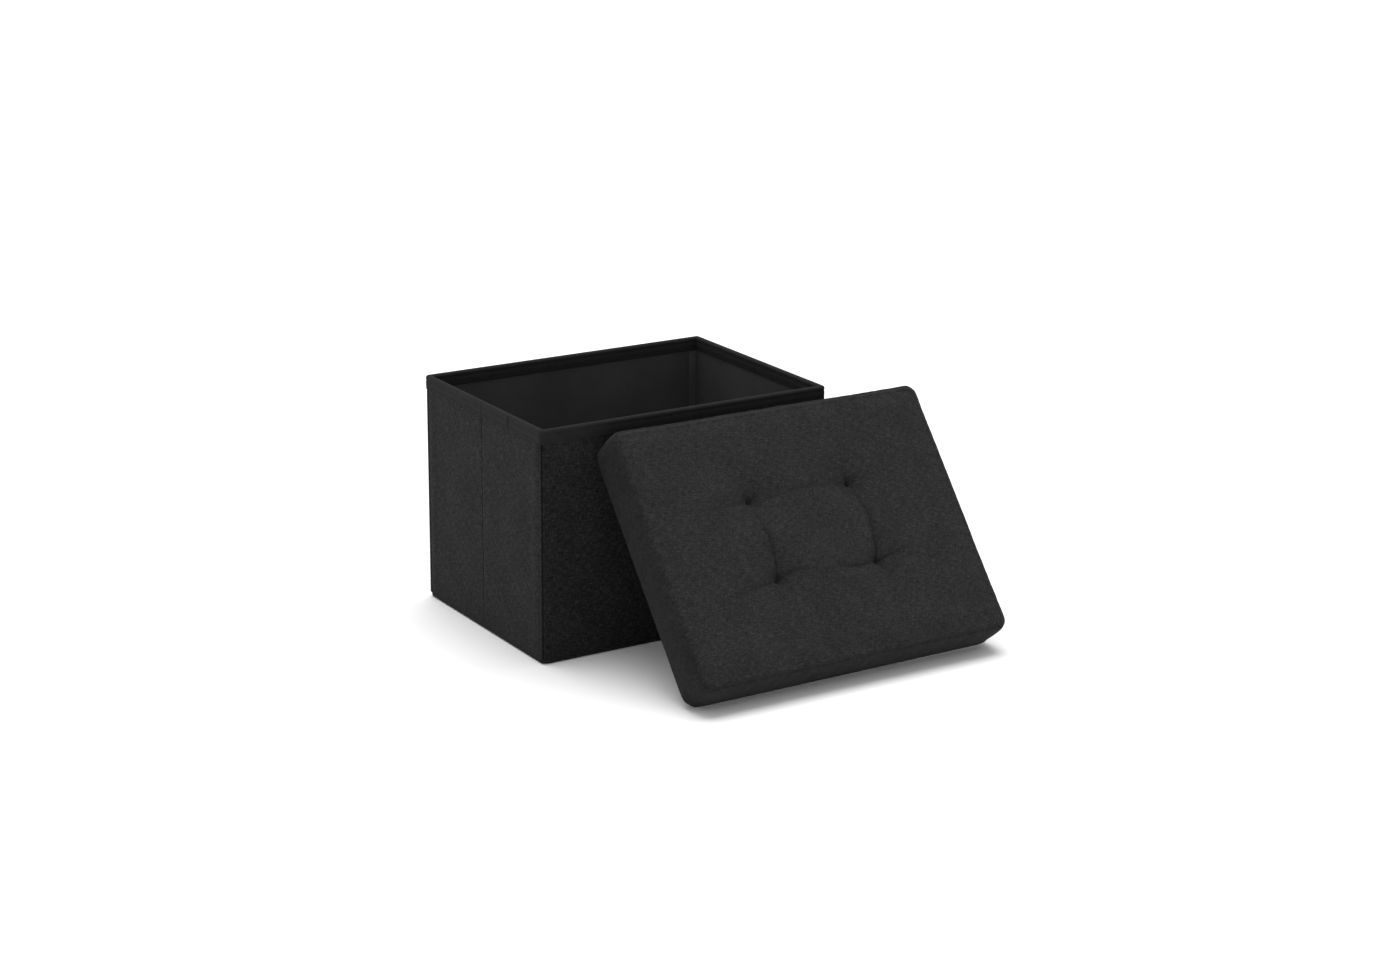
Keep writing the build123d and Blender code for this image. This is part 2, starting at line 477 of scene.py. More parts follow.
def sheet_profile(foot, top, thickness, steps):
    """Outside face from foot to top, then the plain inside face."""
    outside = [(0.0, z) for z in np.linspace(foot + 0.6 * MM, top - 0.6 * MM, steps)]
    return (
        [(-0.5 * thickness, foot), (-0.15 * thickness, foot + 0.15 * MM)]
        + outside
        + [(-0.15 * thickness, top - 0.15 * MM), (-0.5 * thickness, top)]
        + [(-thickness, top - 0.2 * MM), (-thickness, (foot + top) / 2), (-thickness, foot + 0.2 * MM)]
    )


def long_path(x_end, y_face, y_back, radius):
    """Plan path round a front wall, from its left end's back edge to its right one."""
    left = arc((-x_end + radius, -y_face + radius), radius, 180, 270, 13)
    right = arc((x_end - radius, -y_face + radius), radius, 270, 360, 13)
    return [(-x_end, -y_back), *left, *right, (x_end, -y_back)]


def half_path(x_face, x_back, y_start, y_end, start_radius, end_radius):
    """Plan path round a left panel, from its crease end to its corner end."""
    crease = arc((-x_face + end_radius, y_end - end_radius), end_radius, 90, 180, 4)
    corner = arc((-x_face + start_radius, y_start + start_radius), start_radius, 180, 270, 5)
    return [(-x_back, y_end), *crease, *corner, (-x_back, y_start)]


WALLS = (("front", "front_wall", False), ("rear", "rear_wall", True))
HALVES = (
    ("left_front", "left_front_panel", False, False),
    ("left_rear", "left_rear_panel", False, True),
    ("right_front", "right_front_panel", True, False),
    ("right_rear", "right_rear_panel", True, True),
)
COVER_FOOT = WALL_FOOT + 0.05 * MM
COVER_STEPS = 46
LINING_STEPS = 36
LINING_SEED = 20
RETURN_BACK = INNER_Y + 0.25 * MM
CORNER_END = INNER_Y - 0.3 * MM
CREASE_END = 0.1 * MM


def wall_cloth(prefix, kind, cloth, path, body, shift):
    """A wall's cover or lining, built along a plan path."""
    looks = {"cover": (BOX_LINEN, "linen", COVER_STEPS), "lining": (LINING, "lining", LINING_STEPS)}
    material, slot, steps = looks[cloth]
    profile = sheet_profile(COVER_FOOT, COVER_TOP, CLOTH, steps)
    made = ribbon(f"{prefix}_{kind}_{cloth}", path, profile, material, body, slot, shift)
    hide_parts(f"{prefix}_{cloth}")


def long_wall(prefix, body, is_rear, seed):
    path = resampled(long_path(COVER_X, COVER_Y, RETURN_BACK, CORNER), 5 * MM)
    at_corner = COVER_Y - CORNER - RETURN_BACK + CORNER * math.pi / 4
    shift = grooved(cover_shift(seed, 0.3 * MM, 0.3 * MM), at_corner)
    wall_cloth(prefix, "wall", "cover", flipped(path, False, is_rear), body, shift)

    end = INNER_X + 0.3 * MM
    line = resampled([(end, -INNER_Y), (-end, -INNER_Y)], 8 * MM)
    line = flipped(line, False, is_rear)
    wall_cloth(prefix, "wall", "lining", line, body, cover_shift(seed + LINING_SEED))


def half_wall(prefix, body, is_right, is_rear, seed):
    corner_radius = 1.1 * MM
    crease_radius = 0.9 * MM
    outline = half_path(COVER_X, INNER_X + 0.6 * MM, -CORNER_END, -CREASE_END, corner_radius, crease_radius)
    path = flipped(resampled(outline, 5 * MM), is_right, is_rear)
    bulge = 0.75 * MM
    starts_at_corner = is_right != is_rear
    shift = cover_shift(seed, bulge, 0.0) if starts_at_corner else cover_shift(seed, 0.0, bulge)
    wall_cloth(prefix, "panel", "cover", path, body, shift)

    line = resampled([(-INNER_X, -CORNER_END), (-INNER_X, -CREASE_END)], 8 * MM)
    line = flipped(line, is_right, is_rear)
    wall_cloth(prefix, "panel", "lining", line, body, cover_shift(seed + LINING_SEED))


for seed, (prefix, body, is_rear) in enumerate(WALLS, start=1):
    long_wall(prefix, body, is_rear, seed)
for seed, (prefix, body, is_right, is_rear) in enumerate(HALVES, start=3):
    half_wall(prefix, body, is_right, is_rear, seed)


# ---------------------------------------------------------------- rim band

BAND_OUT = BAND_Y - COVER_Y
BAND_IN = COVER_Y - LIP_Y
ROLL = 5.5 * MM


def band_profile():
    """A binding folded over the rim: outer leg, rolled top, inner leg."""
    top = RIM_TOP
    crown = 3.2 * MM
    outer = [
        (0.1 * MM, BAND_FOOT + 0.3 * MM),
        (BAND_OUT - 0.3 * MM, BAND_FOOT),
        (BAND_OUT - 0.05 * MM, BAND_FOOT + 0.5 * MM),
        (BAND_OUT, BAND_FOOT + 1.2 * MM),
        (BAND_OUT - 0.35 * MM, BAND_FOOT + 2.6 * MM),
        (BAND_OUT, BAND_FOOT + 4.0 * MM),
        (BAND_OUT, top - ROLL - 1.8 * MM),
        (BAND_OUT - 0.5 * MM, top - ROLL - 0.5 * MM),
        (BAND_OUT - 0.15 * MM, top - ROLL + 0.6 * MM),
    ]
    half = (BAND_OUT + BAND_IN) / 2
    middle = BAND_OUT - half
    angles = np.radians(np.linspace(0, 180, 13))
    roll = [(middle + half * math.cos(a), top - crown + crown * math.sin(a)) for a in angles]
    inner = [(2 * middle - o, z) for o, z in reversed(outer)]
    back = [(-BAND_IN + CLOTH, top - crown), (0.1 * MM, top - crown)]
    return outer + roll + inner + back


BINDING_JOIN = -0.23 * 2 * BAND_Y
SLIT_WIDTH = 0.9 * MM
SLIT_DEPTH = 0.8 * MM


def slit_shift(path):
    """A narrow slot in the outer leg, where the binding's two ends meet."""
    at = lengths(path)
    places = np.interp(at, at, path[:, 1])

    def shift(run, total, z, out):
        y = np.interp(run, at, places)
        if out > 0 and abs(y - BINDING_JOIN) < SLIT_WIDTH and z < RIM_TOP - 1.5 * MM:
            return -SLIT_DEPTH
        return 0.0

    return shift


def tube_faces(first, sides, rings):
    """Faces of a closed tube whose points start at first, ring after ring."""
    faces = []
    for ring in range(rings - 1):
        for k in range(sides):
            a = first + ring * sides + k
            b = first + ring * sides + (k + 1) % sides
            faces.append((a, b, b + sides, a + sides))
    faces.append(tuple(range(first + sides - 1, first - 1, -1)))
    faces.append(tuple(range(first + (rings - 1) * sides, first + rings * sides)))
    return faces


def stitches(name, path, height, out, body, pitch=3.6 * MM, length=2.5 * MM, radius=0.26 * MM):
    """A row of sewn stitches along a plan path at one height."""
    at = lengths(path)
    normal = outward(path)
    verts, faces, uvs = [], [], []
    sides = 6
    place = pitch
    while place < at[-1] - pitch:
        ends = []
        for share, size, sink in ((-0.5, 0.25, 0.7), (-0.3, 0.9, 0.1), (0.3, 0.9, 0.1), (0.5, 0.25, 0.7)):
            run = place + share * length
            centre = [np.interp(run, at, path[:, k]) for k in range(2)]
            side = [np.interp(run, at, normal[:, k]) for k in range(2)]
            ends.append((centre, side, size * radius, sink * radius))
        first = len(verts)
        for centre, side, size, sink in ends:
            for k in range(sides):
                angle = 2 * math.pi * k / sides
                reach = out - sink + size * math.cos(angle)
                verts.append((
                    centre[0] + side[0] * reach,
                    centre[1] + side[1] * reach,
                    height + size * math.sin(angle),
                ))
                uvs.append((place, height))
        faces += tube_faces(first, sides, len(ends))
        place += pitch
    made = make_object(name, verts, faces, uvs, THREAD, body, "thread")
    fix_normals(made)
    return made


def join_objects(objects, name):
    """Several objects of one body as one."""
    bpy.ops.object.select_all(action="DESELECT")
    for obj in objects:
        obj.select_set(True)
    bpy.context.view_layer.objects.active = objects[0]
    bpy.ops.object.join()
    objects[0].name = name
    return objects[0]


def band(prefix, body, path, inner_path, shift):
    profile = band_profile()
    made = ribbon(f"{prefix}_rim_band", path, profile, BINDING, body, "binding", shift)
    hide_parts(f"{prefix}_band")
    row = BAND_FOOT + 2.6 * MM
    outer_row = stitches(f"{prefix}_outer_stitches", path, row, BAND_OUT - 0.15 * MM, body)
    inner_row = stitches(f"{prefix}_inner_stitches", inner_path, row, -BAND_IN + 0.15 * MM, body)
    join_objects([outer_row, inner_row], f"{prefix}_band_stitches")


def mitre_shift(path):
    """Keeps the band's inner leg from crossing itself in the corners."""
    at = lengths(path)
    in_arc = 0.95 * CORNER
    beside = COVER_Y - CORNER_END

    def shift(run, total, z, out):
        x = abs(np.interp(run, at, path[:, 0]))
        y = abs(np.interp(run, at, path[:, 1]))
        limit = -1.0
        if x > LIP_X - 0.4 * MM and y > COVER_Y - 0.1 * MM:
            limit = -beside
        elif x > COVER_X - CORNER and y > COVER_Y - CORNER + 0.05 * MM:
            limit = -in_arc
        return max(out, limit + 0.03 * (out - limit)) - out

    return shift


def long_band(prefix, body, is_rear):
    path = resampled(long_path(COVER_X, COVER_Y, RETURN_BACK, CORNER), 6 * MM)
    inner = resampled([(-INNER_X + 4 * MM, -COVER_Y), (INNER_X - 4 * MM, -COVER_Y)], 6 * MM)
    path = flipped(path, False, is_rear)
    band(prefix, body, path, flipped(inner, False, is_rear), mitre_shift(path))


def half_band(prefix, body, is_right, is_rear):
    ends = [(-COVER_X, -0.45 * MM), (-COVER_X, -CORNER_END)]
    join_slit = prefix == "left_front"
    start = -ends[0][1]
    near = abs(BINDING_JOIN) - start
    extra = [near + k * MM for k in (-1.3, -0.95, -0.8, 0.8, 0.95, 1.3)] if join_slit else []
    path = flipped(resampled(ends, 6 * MM, extra), is_right, is_rear)
    band(prefix, body, path, path, slit_shift(path) if join_slit else None)


for prefix, body, is_rear in WALLS:
    long_band(prefix, body, is_rear)
for prefix, body, is_right, is_rear in HALVES:
    half_band(prefix, body, is_right, is_rear)


# ---------------------------------------------------------------- corner piping and hinge strips

def upright_cord(name, x, y, radius, z_range, body):
    """A thin upright cord with a slight waver; its near-black tone is painted shade for the groove or slot
    it lies in.
    """
    sides = 10
    heights = np.linspace(*z_range, 60)
    verts, uvs = [], []
    for z in heights:
        sway = 0.08 * MM * wobble(x, z, 31, 60)
        for k in range(sides):
            angle = 2 * math.pi * k / sides
            verts.append((x + radius * math.cos(angle), y + sway + radius * math.sin(angle), z))
            uvs.append((radius * angle, z))
    faces = tube_faces(0, sides, len(heights))
    return make_object(name, verts, faces, uvs, SEAM_CORD_SHADE, body, "linen")


# A dark cord in the binding's join slot: painted shade.
upright_cord(
    "binding_join_shade_cord", -(COVER_X + 0.45 * MM), BINDING_JOIN, 0.5 * MM,
    (BAND_FOOT + 0.5 * MM, RIM_TOP - 3 * MM), "left_front_panel",
)
PIPING_RADIUS = 0.8 * MM
CORNER_CUT = CORNER * (1 - math.sqrt(0.5)) + 0.3 * MM
for prefix, body, is_rear in WALLS:
    for side, sign in (("left", -1), ("right", 1)):
        # Corner piping at the seam; its near-black tone is painted shade for the corner groove.
        piping = upright_cord(
            f"{prefix}_{side}_corner_piping",
            sign * (COVER_X - CORNER_CUT),
            (COVER_Y - CORNER_CUT) * (1 if is_rear else -1),
            PIPING_RADIUS, (WALL_FOOT + 0.5 * MM, BAND_FOOT), body,
        )
        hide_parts(f"{prefix}_{side}_corner_tape")


def crease_strip(side, is_right):
    """Cover cloth in the fold crease, between both half panels."""
    reach = 2.4 * MM
    groove = 0.4 * MM
    ys = np.linspace(reach, -reach, 9)
    path = [(-COVER_X + 0.15 * MM + groove * math.exp(-((y / (0.9 * MM)) ** 2)), y) for y in ys]
    tucked = -COVER_X + 0.9 * MM
    path = [(tucked, 5.2 * MM), (tucked, 3.0 * MM), *path, (tucked, -3.0 * MM), (tucked, -5.2 * MM)]
    path = flipped(path, is_right, False)
    profile = sheet_profile(COVER_FOOT, BAND_FOOT + 2 * MM, 0.35 * MM, 40)
    strip = ribbon(f"{side}_crease_strip", path, profile, BOX_LINEN, None, "linen")
    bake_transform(strip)


def band_bridge(side, is_right):
    """The rim binding where it bends at the fold crease."""
    reach = 5.2 * MM
    sunk = 0.45 * MM
    middle = (BAND_OUT - BAND_IN) / 2
    profile = []
    for out, z in band_profile():
        raised = 0.3 * MM if z < RIM_TOP - 4 * MM else 0
        profile.append((out - math.copysign(sunk, out - middle), min(z, RIM_TOP - sunk) + raised))
    ys = np.concatenate([[reach], np.linspace(2.4 * MM, -2.4 * MM, 9), [-reach]])
    path = flipped([(-COVER_X, y) for y in ys], is_right, False)
    bridge = ribbon(f"{side}_crease_binding", path, profile, BINDING, None, "binding")
    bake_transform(bridge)


def corner_strip(name, long_body, is_right, is_rear, joined):
    """Lining cloth round an inside corner."""
    radius = 1.0 * MM
    centre = (-INNER_X + radius + 0.15 * MM, -INNER_Y + radius + 0.15 * MM)
    bend = arc(centre, radius, 270, 180, 7)
    leg = 4.3 * MM
    path = [(centre[0] + leg, bend[0][1]), *bend, (bend[-1][0], centre[1] + leg)]
    if not joined:  # the open pivot: the cloth stays on the long wall
        path = [(centre[0] + 9.8 * MM, bend[0][1]), *bend[:4]]
    path = flipped(np.asarray(path)[::-1], is_right, is_rear)
    profile = sheet_profile(COVER_FOOT, BAND_FOOT - 0.5 * MM, 0.3 * MM, 30)
    strip = ribbon(name, path, profile, LINING, None if joined else long_body, "lining")
    if joined:
        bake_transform(strip)


for side, is_right in (("left", False), ("right", True)):
    crease_strip(side, is_right)
    band_bridge(side, is_right)
corner_strip("front_left_corner_lining", "front_wall", False, False, True)
corner_strip("front_right_corner_lining", "front_wall", True, False, True)
corner_strip("rear_left_corner_lining", "rear_wall", False, True, True)
corner_strip("rear_right_corner_lining", "rear_wall", True, True, False)


# ---------------------------------------------------------------- padded trays and pads

def ring_grid(half_x, half_y, rings, radius, spacing):
    """A rectangular grid whose outer rings follow rounded rectangles.

    rings lists (inset, height) from the outermost ring inwards.  Returns the
    points, the cloth coordinates, the faces and each point's ring number.
    """
    count = len(rings)
    insets = np.array([inset for inset, _ in rings])
    heights = np.array([height for _, height in rings])
    flat_x = half_x - insets[-1]
    flat_y = half_y - insets[-1]
    inner_nx = max(2, int(round(2 * flat_x / spacing)))
    inner_ny = max(2, int(round(2 * flat_y / spacing)))
    last = count - 1
    nx = inner_nx + 2 * last
    ny = inner_ny + 2 * last
    climb = lengths(np.array(rings, float))
    out_from_flat = climb[-1] - climb

    def along(index, n, inner_n, flat, ring):
        """Place on one axis for a grid line, at the height of one ring."""
        mirrored = index > n / 2
        k = n - index if mirrored else index
        if k >= last:
            value = flat * (1 - 2 * (k - last) / inner_n)
        else:
            edge = flat + insets[-1] - insets[ring]
            share = (k - ring) / max(1, last - ring)
            value = edge + (flat - edge) * share
        return value if mirrored else -value

    points = np.zeros(((nx + 1) * (ny + 1), 3))
    uvs = np.zeros((len(points), 2))
    ring_of = np.zeros(len(points), dtype=int)
    for i in range(nx + 1):
        for j in range(ny + 1):
            ring = min(i, nx - i, j, ny - j, last)
            x = along(i, nx, inner_nx, flat_x, ring)
            y = along(j, ny, inner_ny, flat_y, ring)
            if ring < last:
                turn = max(0.5 * MM, radius - insets[ring] if insets[ring] < radius else 3 * MM)
                a = abs(x) - (half_x - insets[ring] - turn)
                b = abs(y) - (half_y - insets[ring] - turn)
                if a > 0 and b > 0:
                    a2 = a * math.sqrt(max(0.0, 1 - b * b / (2 * turn * turn)))
                    b2 = b * math.sqrt(max(0.0, 1 - a * a / (2 * turn * turn)))
                    x = math.copysign(abs(x) - a + a2, x)
                    y = math.copysign(abs(y) - b + b2, y)
            at = i * (ny + 1) + j
            points[at] = (x, y, heights[ring])
            ring_of[at] = ring
            u_ring = min(i, nx - i)
            v_ring = min(j, ny - j)
            u = math.copysign(flat_x + out_from_flat[u_ring], x) if u_ring < last else x
            v = math.copysign(flat_y + out_from_flat[v_ring], y) if v_ring < last else y
            uvs[at] = (u, v)
    faces = []
    for i in range(nx):
        for j in range(ny):
            a = i * (ny + 1) + j
            faces.append((a, a + ny + 1, a + ny + 2, a + 1))
    return points, uvs, faces, ring_of


def apply_modifiers(obj):
    """Bake the object's modifiers into its mesh."""
    depsgraph = bpy.context.evaluated_depsgraph_get()
    made = bpy.data.meshes.new_from_object(obj.evaluated_get(depsgraph))
    old = obj.data
    obj.modifiers.clear()
    obj.data = made
    made.name = old.name


def close_under(obj, levels):
    """Carry an open tray's edge inwards through steps of (inset, height), then cap it."""
    mesh = bmesh.new()
    mesh.from_mesh(obj.data)
    for inset, height in levels:
        rim = [e for e in mesh.edges if e.is_boundary]
        made = bmesh.ops.extrude_edge_only(mesh, edges=rim)["geom"]
        verts = [v for v in made if isinstance(v, bmesh.types.BMVert)]
        reach = [max(abs(v.co[axis]) for v in verts) for axis in range(2)]
        for vertex in verts:
            vertex.co.x *= 1 - inset / reach[0]
            vertex.co.y *= 1 - inset / reach[1]
            vertex.co.z = height
    bmesh.ops.holes_fill(mesh, edges=[e for e in mesh.edges if e.is_boundary])
    bmesh.ops.recalc_face_normals(mesh, faces=mesh.faces)
    mesh.to_mesh(obj.data)
    mesh.free()
    for polygon in obj.data.polygons:
        polygon.use_smooth = True


# ---------------------------------------------------------------- bottom cloth and base board

def bottom_tray():
    """The bottom cloth with its hem turned up round the foot of the walls."""
    top = WALL_FOOT - 0.15 * MM
    rings = [
        (0.1 * MM, top), (0.0, top - 0.6 * MM), (0.05 * MM, 3.4 * MM), (0.6 * MM, 1.7 * MM),
        (1.9 * MM, 0.5 * MM), (3.8 * MM, 0.05 * MM), (7 * MM, 0.0),
    ]
    points, uvs, faces, _ = ring_grid(COVER_X, COVER_Y, rings, 8.5 * MM, 12 * MM)
    tray = make_object("bottom_cloth_tray", points, faces, uvs, LINING, "front_wall", "lining")
    tray.data.materials.append(BOX_LINEN)
    fix_open_normals(tray, up=False)
    solid = tray.modifiers.new("thickness", "SOLIDIFY")
    solid.thickness = 0.9 * MM
    solid.offset = -1
    apply_modifiers(tray)
    for polygon in tray.data.polygons:
        if polygon.center.z > 0.4 * MM and abs(polygon.normal.z) < 0.9:
            polygon.material_index = 1
    hems = [f"bottom_hem_{side}" for side in ("front", "rear", "left", "right")]
    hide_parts("bottom_cloth", *hems)
    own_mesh(tray)


def fix_open_normals(obj, up):
    """Turn an open tray's faces so that its flat middle looks up or down."""
    flat = max(obj.data.polygons, key=lambda p: p.area)
    if (flat.normal.z > 0) != up:
        obj.data.flip_normals()


bottom_tray()


def base_pad():
    """The loose base board's cloth, drawn over its top and round its edges."""
    half_x = BASE_HIGH[0]
    half_y = BASE_HIGH[1]
    foot = BASE_LOW[2] - 0.08 * MM
    top = BASE_HIGH[2]
    rings = [
        (3 * MM, foot), (1 * MM, foot + 0.05 * MM), (0.1 * MM, foot + 0.9 * MM), (0.0, top - 1.1 * MM),
        (0.3 * MM, top - 0.4 * MM), (1.1 * MM, top), (4 * MM, top),
    ]
    points, uvs, faces, ring_of = ring_grid(half_x, half_y, rings, 3 * MM, 8 * MM)
    for k, ring in enumerate(ring_of):
        if ring == len(rings) - 1:
            points[k, 2] += 0.25 * MM * wobble(points[k, 0], points[k, 1], 40, 14)
    pad = make_object("base_board_wrap", points, faces, uvs, LINING, "base", "lining")
    close_under(pad, [(8 * MM, foot)])
    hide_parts("base_wrap")


base_pad()


# ---------------------------------------------------------------- lid

class LeaningFrame:
    """The lid's own axes: u along X, v up its slope, w out of its padded top."""

    def __init__(self):
        lift = next(j for j in frame["joints"] if j["name"] == "lid_lift")
        self.w = np.array(lift["axis"], float)
        self.u = np.array([1.0, 0.0, 0.0])
        self.v = np.cross(self.w, self.u)
        lows, highs = zip(*(self.range_of(n) for n in frame["record"]["behaviour"]["bodies"]["lid"]))
        bottom, top = np.min(lows, axis=0), np.max(highs, axis=0)
        self.origin = np.array([(bottom[0] + top[0]) / 2, (bottom[1] + top[1]) / 2, bottom[2]])
        self.half_u, self.half_v = (top - bottom)[:2] / 2
        self.thickness = (top - bottom)[2]

    def range_of(self, node):
        co = np.array([v.co for v in frame["nodes"][node].data.vertices], float)
        local = co @ np.stack([self.u, self.v, self.w], axis=1)
        return local.min(axis=0), local.max(axis=0)

    def local_box(self, node):
        lowest, highest = self.range_of(node)
        return lowest - self.origin, highest - self.origin

    def place(self, points):
        return (np.asarray(points) + self.origin) @ np.stack([self.u, self.v, self.w])


LID = LeaningFrame()
HEM = LID.half_u - LID.local_box("lid_right_board")[0][0] + 1.0 * MM
RECESS_TOP = LID.local_box("lid_board")[0][2]
TUFTS = [(a + b)[:2] / 2 for a, b in (LID.local_box(f"tuft_tie_{k}") for k in range(1, 5))]
LID_CORNER = 13 * MM
EDGE_ROUND = 9.5 * MM
TUFT_DEPTH = 5.5 * MM
SWELL = 1.0 * MM
SEAM_ANGLE = 58
SEAM_INSET = EDGE_ROUND * (1 - math.cos(math.radians(SEAM_ANGLE)))
SEAM_HEIGHT = LID.thickness - EDGE_ROUND * (1 - math.sin(math.radians(SEAM_ANGLE)))


def lid_rings():
    """(inset, height) from the hem's inner edge, out, up the side and over the edge."""
    top = LID.thickness
    under = [
        (HEM, 1.0 * MM), (HEM - 1.5 * MM, 0.2 * MM), (HEM - 6 * MM, 0.0),
        (6.5 * MM, 0.0), (2.8 * MM, 0.15 * MM),
    ]
    foot = [(0.9 * MM, 1.0 * MM), (0.1 * MM, 3.2 * MM)]
    side = [(0.0, h) for h in np.linspace(8 * MM, top - EDGE_ROUND, 8)]
    angles = np.radians([18, 36, 50, SEAM_ANGLE, 66, 78, 90])
    edge = [(EDGE_ROUND * (1 - math.cos(a)), top - EDGE_ROUND * (1 - math.sin(a))) for a in angles]
    return under + foot + side + edge + [(EDGE_ROUND + 3 * MM, top)]


def tuft_distance(points):
    """Distance in the lid's plane from each point to its nearest tuft."""
    gaps = [np.linalg.norm(points[:, :2] - tuft, axis=1) for tuft in TUFTS]
    return np.min(gaps, axis=0)


def relaxed(points, faces, pinned, cap):
    """Points after a short cloth simulation with air pressure inside, moved at most cap."""
    mesh = bpy.data.meshes.new("lid_simulation")
    mesh.from_pydata([tuple(p) for p in points], [], faces)
    obj = bpy.data.objects.new("lid_simulation", mesh)
    scene.collection.objects.link(obj)
    group = obj.vertex_groups.new(name="pin")
    for k in np.nonzero(pinned)[0]:
        group.add([int(k)], 1.0, "ADD")
    cloth = obj.modifiers.new("cloth", "CLOTH")
    settings = cloth.settings
    settings.quality = 6
    settings.mass = 0.25
    settings.tension_stiffness = 18
    settings.compression_stiffness = 12
    settings.shear_stiffness = 8
    settings.bending_stiffness = 0.8
    settings.use_pressure = True
    settings.uniform_pressure_force = 3.0
    settings.shrink_min = -0.004
    settings.effector_weights.gravity = 0.0
    settings.vertex_group_mass = "pin"
    cloth.point_cache.frame_start = 1
    cloth.point_cache.frame_end = 20
    for number in range(1, 21):
        scene.frame_set(number)
    depsgraph = bpy.context.evaluated_depsgraph_get()
    moved = obj.evaluated_get(depsgraph).to_mesh()
    result = np.array([v.co for v in moved.vertices], float)
    bpy.data.objects.remove(obj)
    scene.frame_set(1)
    step = result - points
    size = np.linalg.norm(step, axis=1)
    step *= np.minimum(1.0, cap / np.maximum(size, 1e-9))[:, None]
    return points + step


# Creases in the lid's plane, in millimetres from its centre: points, then depth at each end.
CREASES = (
    ([(-70, 50), (-67, 22), (-64, -4), (-66, -28), (-70, -50)], 0.45, 1.0),
    ([(70, 50), (75, 27), (78.5, 5), (75, -24), (70, -50)], 0.35, 1.1),
    ([(-70, -50), (-50, -43), (-30, -44), (-8, -49)], 1.0, 0.25),
    ([(70, -50), (38, -52), (12, -49), (-8, -49)], 1.1, 0.25),
    ([(-70, 50), (-38, 50), (0, 54), (38, 52), (70, 50)], 0.5, 0.7),
    ([(70, -50), (93, -45), (120, -41), (142, -40)], 1.1, 0.0),
    ([(70, 50), (88, 53), (110, 59)], 0.9, 0.0),
    ([(-70, -50), (-95, -54), (-130, -60), (-165, -63)], 0.95, 0.15),
    ([(-70, 50), (-100, 48), (-135, 47), (-165, 50)], 0.75, 0.1),
    ([(70, 50), (67, 63), (63, 84)], 1.0, 0.0),
    ([(-70, 50), (-76, 65), (-80, 88)], 0.8, 0.0),
    ([(70, -50), (80, -73), (92, -102)], 1.0, 0.1),
    ([(-70, -50), (-61, -62), (-50, -76)], 0.7, 0.0),
)


def crease_depth(points):
    """How far the creases draw the top in, at each point."""
    depth = np.zeros(len(points))
    for corners, first, last in CREASES:
        line = smooth_line(np.array(corners, float) * MM)
        share = np.linspace(0, 1, len(line))
        gap = np.linalg.norm(points[:, None, :2] - line[None], axis=2)
        nearest = gap.argmin(axis=1)
        distance = gap[np.arange(len(points)), nearest]
        strength = first + (last - first) * share[nearest]
        sharp = 1.0 * MM * np.exp(-((distance / (1.7 * MM)) ** 2))
        soft = 0.7 * MM * np.exp(-((distance / (7 * MM)) ** 2))
        depth = np.maximum(depth, strength * (sharp + soft))
    return depth


def smooth_line(corners, count=60):
    """A Catmull-Rom line through a few points."""
    padded = np.vstack([2 * corners[0] - corners[1], corners, 2 * corners[-1] - corners[-2]])
    spans = len(corners) - 1
    line = []
    for t in np.linspace(0, spans - 1e-6, count):
        k = int(t)
        f = t - k
        a, b, c, d = padded[k:k + 4]
        square = (2 * a - 5 * b + 4 * c - d) * f**2
        cube = (3 * b - a - 3 * c + d) * f**3
        line.append(0.5 * (2 * b + (c - a) * f + square + cube))
    return np.array(line)


def corner_draw(points):
    """The corners' roundness: hem and top drawn in more than the middle of the side."""
    reach = 24 * MM
    a = np.abs(points[:, 0]) - (LID.half_u - reach)
    b = np.abs(points[:, 1]) - (LID.half_v - reach)
    near = np.clip(np.minimum(a, b) / reach, 0, 1)
    level = (points[:, 2] - 0.55 * LID.thickness) / (0.55 * LID.thickness)
    pull = 4.2 * MM * near**1.5 * level**2
    return np.sign(points[:, :2]) * pull[:, None] * 0.7


def lid_cover():
    """The upholstered lid: puffed cloth over foam, drawn in at four tufts."""
    rings = lid_rings()
    last = len(rings) - 1
    points, uvs, faces, ring_of = ring_grid(LID.half_u, LID.half_v, rings, LID_CORNER, 3.7 * MM)
    height = points[:, 2]
    side_share = np.clip((height - 4 * MM) / (12 * MM), 0, 1)
    start = points.copy()
    start[:, :2] *= 1 - (SWELL * side_share / LID.half_u)[:, None]
    start[:, 2] -= SWELL * np.clip((height - 30 * MM) / (20 * MM), 0, 1)
    start[:, :2] -= corner_draw(points)
    near = tuft_distance(points)
    on_top = ring_of >= last - 1
    drawn = TUFT_DEPTH * np.exp(-((near / (9 * MM)) ** 1.4)) + 1.2 * MM * np.exp(-((near / (30 * MM)) ** 2))
    start[on_top, 2] -= drawn[on_top]
    at_seam = (np.abs(height - SEAM_HEIGHT) < 1.2 * MM) & ~on_top
    pinned = (height < 3.5 * MM) | at_seam | (on_top & (near < 3.6 * MM))
    start = relaxed(start, faces, pinned, 2.6 * MM)

    cover = make_object("lid_upholstery", start, faces, uvs, LID_LINEN, "lid", "linen")
    smooth = cover.modifiers.new("smooth", "SUBSURF")
    smooth.levels = smooth.render_levels = 1
    apply_modifiers(cover)
    recess = [(-0.7 * MM, 1.6 * MM), (-0.2 * MM, RECESS_TOP - 1 * MM), (0.6 * MM, RECESS_TOP + 0.3 * MM)]
    close_under(cover, recess)
    detail_lid(cover)
    soft_nodes = ["lid_top_foam", "lid_top_cover"]
    for side in ("front", "rear", "left", "right"):
        soft_nodes += [f"lid_{side}_foam", f"lid_{side}_cover"]
    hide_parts(*soft_nodes)
    return cover


